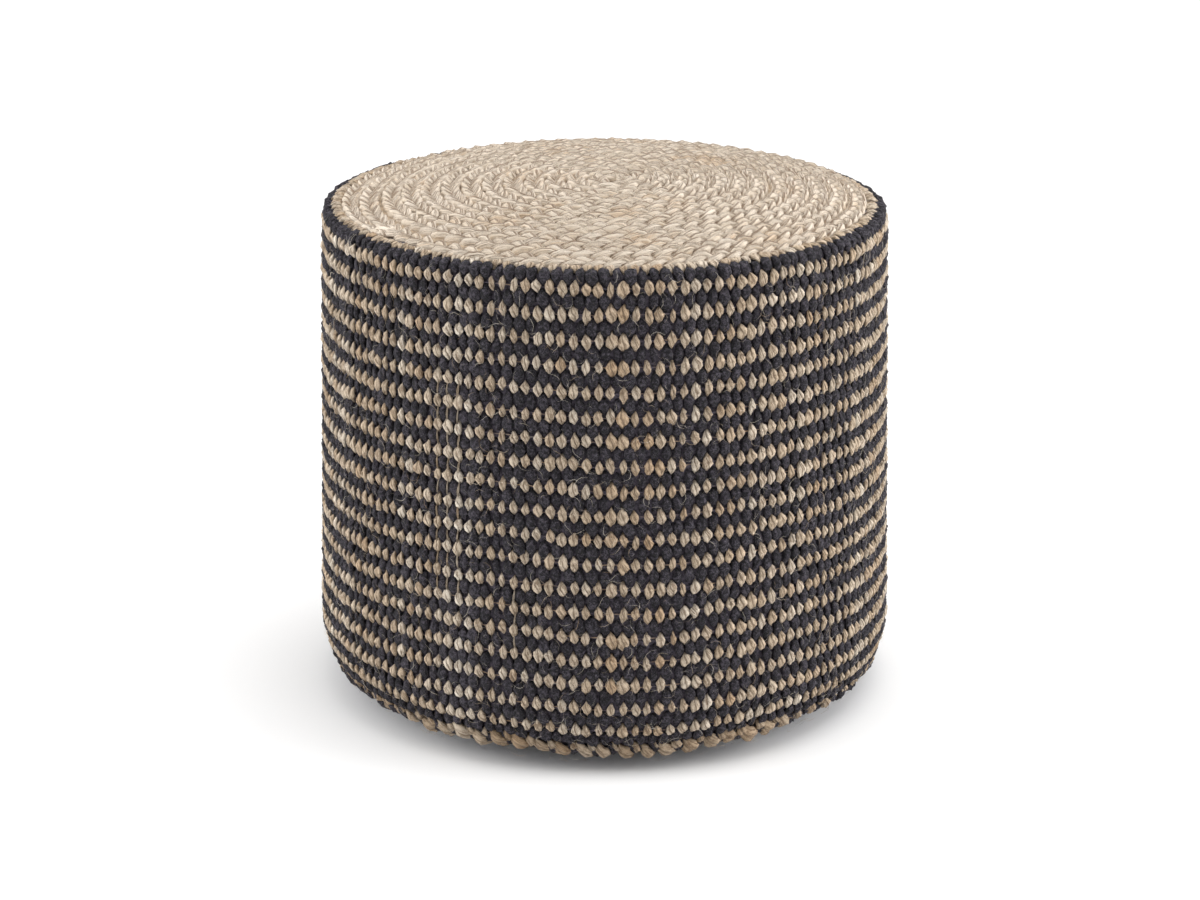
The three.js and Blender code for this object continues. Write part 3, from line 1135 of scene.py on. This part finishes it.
class POUF_OT_rows(PoufOperator, bpy.types.Operator):
    """Weaves the rows of jute and charcoal floats and the weft between them"""

    bl_idname = "pouf.rows"
    bl_label = "Woven rows"

    jute_seed = 11
    wool_seed = 71
    weft_lift = -0.0021

    # Rows: yarn, pitches below the first row, number, width, length and height in floats of
    # that yarn, lift, roughness, and what is added to the yarn's seed
    rows = (
        ("jute_rows_upper", 0, 0, UPPER_ROWS, (1, 1, 1), -0.0019, 0.00032, 0),
        ("charcoal_rows_upper", 1, 1, UPPER_ROWS, (1, 1, 1), -0.0026, 0.00038, 0),
        ("jute_rows_lower", 0, 20, JUTE_ROWS - UPPER_ROWS, (1, 1, 1), -0.0019, 0.00032, 10),
        ("charcoal_rows_lower", 1, 21, JUTE_ROWS - UPPER_ROWS, (1, 1, 1), -0.0026, 0.00038, 10),
        ("charcoal_rim", 1, -1.12, 1, (1.06, 1.18, 1.18), -0.0022, 0.00040, 40),
        ("jute_rim_bits", 0, -2.15, 1, (1.08, 1.25, 1.1), -0.0020, 0.00040, 40),
    )

    # Jute strands over charcoal rows: place on the drum, strands side by side, the first
    # row and the number of rows
    strands = (
        ("seam_strands", math.radians(-31), 3, 5, 9),
        ("stray_strands", math.radians(-16.5), 1, 13, 3),
    )
    strand_share = 0.95
    strand_height = 0.0028
    strand_lift = -0.0006
    strand_seed = 60

    def execute(self, context):
        colors, band = context.scene.pouf_colors, context.scene.pouf_band
        tree = float_tree()
        jute_shapes = shape_collection(
            "jute",
            partial(float_mesh, JUTE_STEPS),
            (0.92, 0.40, 1.2, 0.10),
            (0.80, 0.20, 0.9, -0.14, 0.05),
            (1.10, 0.38, 1.4, 0.05, 0.05),
            (0.88, 0.28, 1.1, -0.04, 0.10),
        )
        wool_shapes = shape_collection(
            "wool",
            partial(float_mesh, WOOL_STEPS),
            (0.62, 0.10, 0.8, 0.06, 0.07),
            (0.56, 0.04, 0.6, -0.06, 0.08),
            (0.70, 0.14, 1.0, 0.00, 0.06),
            (0.60, 0.07, 0.7, 0.08, 0.09),
        )
        jute = {"Shapes": jute_shapes, "Material": jute_yarn("jute_yarn", colors)}
        wool = {"Shapes": wool_shapes, "Material": wool_yarn("charcoal_wool_yarn", colors)}
        jute.update(ColumnSeed=self.jute_seed, Uneven=band.uneven)
        wool.update(ColumnSeed=self.wool_seed, Uneven=band.uneven)
        jute_size = band.float_width, band.float_length, band.float_height
        wool_size = band.wool_width, band.wool_length, band.wool_height
        pitch, left = GIRTH / band.columns, -GIRTH / 2
        yarns = (jute, jute_size, left), (wool, wool_size, left + pitch / 2)
        for name, yarn, row, count, shares, lift, roughness, seed in self.rows:
            values, size, x = yarns[yarn]
            grid = band.columns, count, pitch, 2 * ROW_PITCH
            start = x, FIRST_ROW - row * ROW_PITCH, lift
            size = [part * share for part, share in zip(size, shares)]
            seed += values["ColumnSeed"]
            weave(context, tree, name, grid, start, size, roughness, seed, **values)
        for name, angle, columns, first, count in self.strands:
            near = round((angle / TURN + 0.5) * band.columns)
            grid = columns, count, pitch, 2 * ROW_PITCH
            x = left + (near - columns // 2) * pitch
            start = x, FIRST_ROW - (2 * first - 1) * ROW_PITCH, self.strand_lift
            size = band.strand_width, band.float_length * self.strand_share, self.strand_height
            seed = self.jute_seed + self.strand_seed
            weave(context, tree, name, grid, start, size, 0.0, seed, **jute)
        threads = thread_tree().grow(
            "weft_threads",
            Steps=band.columns,
            Rows=JUTE_ROWS,
            Girth=GIRTH,
            RowPitch=2 * ROW_PITCH,
            StartY=FIRST_ROW,
            Lift=self.weft_lift,
            Radius=band.weft_radius,
            Material=thread_finish("weft_thread", colors),
        )
        lay(threads, wrap)
        drop_collection(jute_shapes)
        drop_collection(wool_shapes)
        return {"FINISHED"}


class POUF_OT_edge(PoufOperator, bpy.types.Operator):
    """Sews the chunky jute row at the lower edge, with charcoal between"""

    bl_idname = "pouf.edge"
    bl_label = "Lower edge"

    # The jute there is coarser, and painted darker than that of the rows as shade near the floor
    fibres_round = 26.0
    dim = (0.74, 0.70, 0.65)
    stitches = 84
    lift = -0.0024
    skew = 0.35
    unevenness = 1.4
    roughness = 0.00045

    # Stitches: yarn, seed, shift along the row and height over it in pitches, lean, share
    # lost at the sides, and width, length and height
    rows = (
        ("edge_jute", 0, 32, 0.0, 0.15, 0.80, 0.50, (0.0135, 0.0240, 0.0098)),
        ("edge_bits", 0, 33, 0.5, 0.55, 0.45, 0.12, (0.0078, 0.0125, 0.0072)),
        ("edge_charcoal", 1, 36, 0.5, 0.15, 0.50, -0.12, (0.0105, 0.0180, 0.0062)),
    )

    def execute(self, context):
        colors, band = context.scene.pouf_colors, context.scene.pouf_band
        tree = float_tree()
        shapes = shape_collection(
            "edge",
            partial(float_mesh, JUTE_STEPS),
            (0.38, 0.30, 0.7, 0.10, 0.06),
            (0.34, 0.22, 0.5, -0.10, 0.08),
            (0.46, 0.34, 0.9, 0.00, 0.07),
            (0.38, 0.18, 0.6, 0.12, 0.10),
        )
        jute = jute_yarn("edge_jute_yarn", colors, self.fibres_round, self.dim)
        yarns = jute, wool_yarn("edge_wool_yarn", colors)
        pitch = GIRTH / self.stitches
        grid = self.stitches, 1, pitch, ROW_PITCH
        for name, yarn, seed, shift, row, lean, shrink, size in self.rows:
            start = -GIRTH / 2 + shift * pitch, EDGE_ROW + row * ROW_PITCH, self.lift
            more = {"Shapes": shapes, "Material": yarns[yarn], "ColumnSeed": seed}
            more.update(Lean=lean, Skew=self.skew, Shrink=shrink)
            more.update(Uneven=band.uneven * self.unevenness)
            weave(context, tree, name, grid, start, size, self.roughness, seed, **more)
        drop_collection(shapes)
        return {"FINISHED"}


def coil_steps(before_end):
    """Widths between a turn and the rim: the outer turns step inwards where the coil ends."""
    steps = np.zeros(len(before_end))
    for number in range(1, math.ceil(before_end.max()) + 2):
        jog = JOGS[number - 1] if number <= len(JOGS) else 1.0
        middle = number + (FIRST_JOG_WAIT if number == 1 else 0.0)
        steps += np.clip((before_end - middle) / jog + 0.5, 0, 1)
    return steps


def tail_mesh(name, end, height):
    """The coil's flattened end: a fan of strands that lies over the last crossing."""
    radius = COIL_RADIUS - TAIL_WIDTHS.max() / 2 + TAIL_OVERHANG
    turn = math.atan2(end[1], end[0])
    share = np.linspace(-0.7, 0.3, len(TAIL_WIDTHS))
    corner = np.arange(TAIL_SIDES) * TURN / TAIL_SIDES
    ridges = 1 + 0.10 * np.cos(5 * corner)
    points = []
    for part, wide, thick in zip(share, TAIL_WIDTHS, TAIL_HEIGHTS):
        angle = turn + part * TAIL_LENGTH / radius
        r = radius + np.cos(corner) * wide / 2
        z = height + TAIL_RAISE + np.sin(corner) * ridges * thick / 2
        points.append(np.column_stack([r * np.cos(angle), r * np.sin(angle), z]))
    rows = len(TAIL_WIDTHS)
    last = TAIL_SIDES * (rows - 1)
    caps = [tuple(range(TAIL_SIDES)), tuple(reversed(range(last, last + TAIL_SIDES)))]
    mesh = new_mesh(name, dome(np.vstack(points)), caps + tube_faces(rows, TAIL_SIDES))
    ring = np.column_stack([np.sin(corner), np.cos(corner), 0 * corner])
    set_attribute(mesh, "along", np.repeat(TAIL_ALONG + share * TAIL_LENGTH, TAIL_SIDES))
    # The tail takes a fixed share of the braid's painted under-crossing shade.
    set_attribute(mesh, "under", np.full(len(mesh.vertices), TAIL_SHADE))
    set_attribute(mesh, "round", np.tile(ring, (rows, 1)))
    return mesh


class POUF_OT_braid(PoufOperator, bpy.types.Operator):
    """Coils the three-strand braid over the crown"""

    bl_idname = "pouf.braid"
    bl_label = "Coiled braid"

    first_turn = 0.30
    least_squeeze = 0.3
    tail_turn = 0.6
    raise_coil = 0.0003
    rim_drop = 0.0014
    rim_drop_start = 0.88
    rim_drop_fade = 0.08
    sides = 9

    def execute(self, context):
        braid = context.scene.pouf_braid
        width = braid.turn_width
        whole_turns = COIL_RADIUS / width - 0.5
        last_turn = whole_turns + self.tail_turn
        turns = []
        turn = self.first_turn
        while turn < last_turn:
            turns.append(turn)
            turn += braid.step / (TURN * max(turn, 0.5) * width)
        turns = np.array(turns)
        before_end = last_turn - turns
        free = self.least_squeeze + (1 - self.least_squeeze) * before_end / TAIL_TAPER
        free = np.minimum(free, 1.0)
        r = COIL_RADIUS - width * (free / 2 + coil_steps(before_end))
        angle = TURN * (turns - whole_turns)
        height = RIM_HEIGHT - BRAID_THICKNESS / 2 + self.raise_coil
        outer = (r / COIL_RADIUS - self.rim_drop_start) / self.rim_drop_fade
        low = self.rim_drop * np.clip(outer, 0, 1)
        path = np.column_stack([r * np.cos(angle), r * np.sin(angle), height - low])
        edges = [(i, i + 1) for i in range(len(path) - 1)]
        mesh = new_mesh("braid_path", path, [], edges)
        set_attribute(mesh, "squeeze", free)
        finish = braid_jute("braid_jute", context.scene.pouf_colors)
        coil = braid_tree().grow(
            "braid_coil",
            mesh,
            Swing=braid.swing,
            Rise=braid.rise,
            EdgeLift=braid.edge_lift,
            Period=braid.period,
            StrandWidth=braid.strand_width,
            StrandHeight=braid.strand_height,
            Lumps=braid.lumps,
            Sides=self.sides,
            Material=finish,
        )
        lay(coil, dome)
        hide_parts("top_coil")
        tail = add_object("braid_tail", tail_mesh("braid_tail", path[-1], height))
        tail.data.materials.append(finish)
        finish_piece(tail)
        return {"FINISHED"}


class POUF_OT_hairs(PoufOperator, bpy.types.Operator):
    """Scatters loose hairs over the band and the braid"""

    bl_idname = "pouf.hairs"
    bl_label = "Loose hairs"

    lowest = 0.02
    top_share = 0.97

    # Hairs: density, lift, spread, shortest, longest and seed
    side_hairs = (6800.0, 0.0006, 0.0022, 0.003, 0.014, 9)
    wool_fuzz = (5200.0, 0.0, 0.0022, 0.003, 0.007, 14)
    top_hairs = (3000.0, RIM_HEIGHT + 0.0006, 0.0018, 0.005, 0.014, 31)

    def execute(self, context):
        colors = context.scene.pouf_colors
        shapes = shape_collection(
            "hair",
            hair_mesh,
            (0.8, 1.0, 0.0080),
            (-1.2, 0.5, 0.0065),
            (1.5, -0.9, 0.0085),
            (0.3, 1.8, 0.0065),
        )
        tree = hair_tree()
        shades = colors.jute_warm, colors.jute_pale, colors.hair_pale
        jute = hair_finish("loose_jute_hair", 0.6, *shades)
        shades = colors.charcoal, colors.charcoal_pale, colors.charcoal_hair
        wool = hair_finish("wool_fuzz", 0.7, *shades)
        side, low, high = GIRTH / 2, self.lowest, FIRST_ROW + ROW_PITCH
        corners = [(-side, low, 0), (side, low, 0), (side, high, 0), (-side, high, 0)]
        patch = new_mesh("hair_patch", corners, [(0, 1, 2, 3)])
        radii = [0, COIL_RADIUS * self.top_share, 0]
        disc = turned_mesh("hair_disc", radii, [0, 0, 0.00001], 24)
        names = "Density Lift Spread Short Long Seed".split()
        for name, mesh, form, slot, material in (
            ("side_hairs", patch, wrap, "woven_band", jute),
            ("wool_fuzz", patch, wrap, "woven_band", wool),
            ("top_hairs", disc, dome, "jute_braid", jute),
        ):
            values = dict(zip(names, getattr(self, name)))
            lay(tree.grow(name, mesh, Shapes=shapes, Material=material, **values), form)
        drop_collection(shapes)
        return {"FINISHED"}


class POUF_OT_base(PoufOperator, bpy.types.Operator):
    """Makes the plain cloth disc that the pouf stands on"""

    bl_idname = "pouf.base"
    bl_label = "Base cloth"

    edge_round = 0.0008
    segments = 96

    def execute(self, context):
        edge = self.edge_round
        r = [0, *np.linspace(0.2, 1, 5) * (BASE_RADIUS - edge), BASE_RADIUS, BASE_RADIUS]
        r += [BASE_RADIUS - edge, 0]
        z = [0] * 6 + [edge, BASE_THICKNESS - edge, BASE_THICKNESS, BASE_THICKNESS]
        mesh = turned_mesh("base_cloth", np.array(r), np.array(z), self.segments)
        set_points(mesh, settle(get_points(mesh)))
        mesh.materials.append(plain_weave("plain_base_cloth", context.scene.pouf_colors))
        piece = finish_piece(add_object("base_cloth", mesh))
        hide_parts("base_panel")
        return {"FINISHED"}


class POUF_PT_panel(bpy.types.Panel):
    """Lists the pouf's settings and building steps"""

    bl_idname = "POUF_PT_panel"
    bl_label = "Woven Pouf"
    bl_space_type = "VIEW_3D"
    bl_region_type = "UI"
    bl_category = "Pouf"

    def draw(self, context):
        for group in GROUPS:
            box = self.layout.box()
            settings = getattr(context.scene, group)
            for name in settings.bl_rna.properties.keys():
                if name not in ("rna_type", "name"):
                    box.prop(settings, name)
        for step in STEPS:
            self.layout.operator(step.bl_idname)


GROUPS = {
    "pouf_colors": PoufColors,
    "pouf_band": PoufBand,
    "pouf_braid": PoufBraid,
    "pouf_stage": PoufStage,
}
STEPS = (
    POUF_OT_stage,
    POUF_OT_body,
    POUF_OT_rows,
    POUF_OT_edge,
    POUF_OT_braid,
    POUF_OT_hairs,
    POUF_OT_base,
)
CLASSES = (*GROUPS.values(), *STEPS, POUF_PT_panel)


def register():
    for kind in CLASSES:
        bpy.utils.register_class(kind)
    for name, group in GROUPS.items():
        setattr(bpy.types.Scene, name, bpy.props.PointerProperty(type=group))


def unregister():
    for name in GROUPS:
        delattr(bpy.types.Scene, name)
    for kind in reversed(CLASSES):
        bpy.utils.unregister_class(kind)


def main():
    register()
    for step in STEPS:
        group, name = step.bl_idname.split(".")
        getattr(getattr(bpy.ops, group), name)()


if __name__ == "__main__":
    main()
